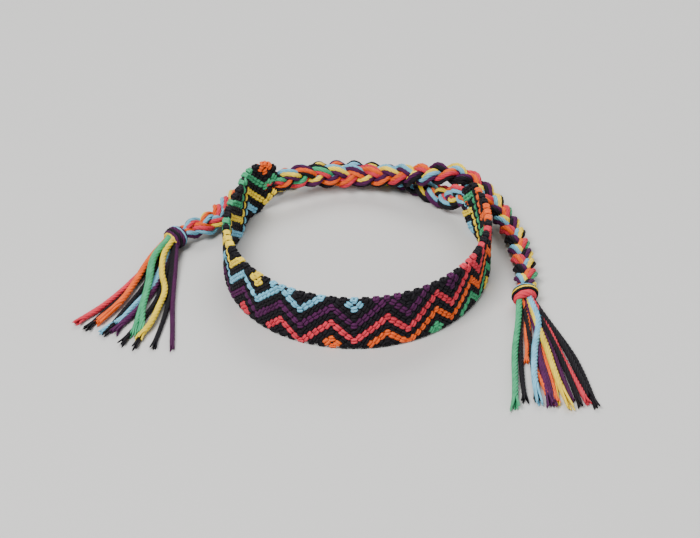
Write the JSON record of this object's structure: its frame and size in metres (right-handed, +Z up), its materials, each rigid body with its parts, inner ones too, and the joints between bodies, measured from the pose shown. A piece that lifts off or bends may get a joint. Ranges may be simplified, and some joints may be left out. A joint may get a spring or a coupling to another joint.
{
  "type": "knotted cotton bracelet",
  "caption": "Knotted cotton friendship bracelet standing on its edge as an open loop, with a zigzag band, braided ties that cross at the back, overhand knots and tassels.",
  "frame": {"origin": "on the table, under the centre of the loop that the band stands as, in the plane of the band's lower edge", "axes": "+X to the right seen from the front, +Y to the back where the ties cross, +Z up from the table, through the loop as a wrist would go"},
  "size_m": [0.1154, 0.0997, 0.0133],
  "materials": {
    "black_cotton": "matt twisted cotton thread",
    "orange_cotton": "matt twisted cotton thread",
    "pink_cotton": "matt twisted cotton thread",
    "purple_cotton": "matt twisted cotton thread",
    "light_blue_cotton": "matt twisted cotton thread",
    "green_cotton": "matt twisted cotton thread",
    "yellow_cotton": "matt twisted cotton thread"
  },
  "bodies": {
    "root": {"band": "black_cotton", "right_tie_strand_1": "purple_cotton", "right_tie_strand_2": "orange_cotton", "right_tie_strand_3": "light_blue_cotton", "left_tie_strand_1": "pink_cotton", "left_tie_strand_2": "yellow_cotton", "left_tie_strand_3": "green_cotton", "right_knot": "pink_cotton", "left_knot": "purple_cotton", "right_tassel": "light_blue_cotton", "left_tassel": "yellow_cotton"}
  },
  "joints": []
}
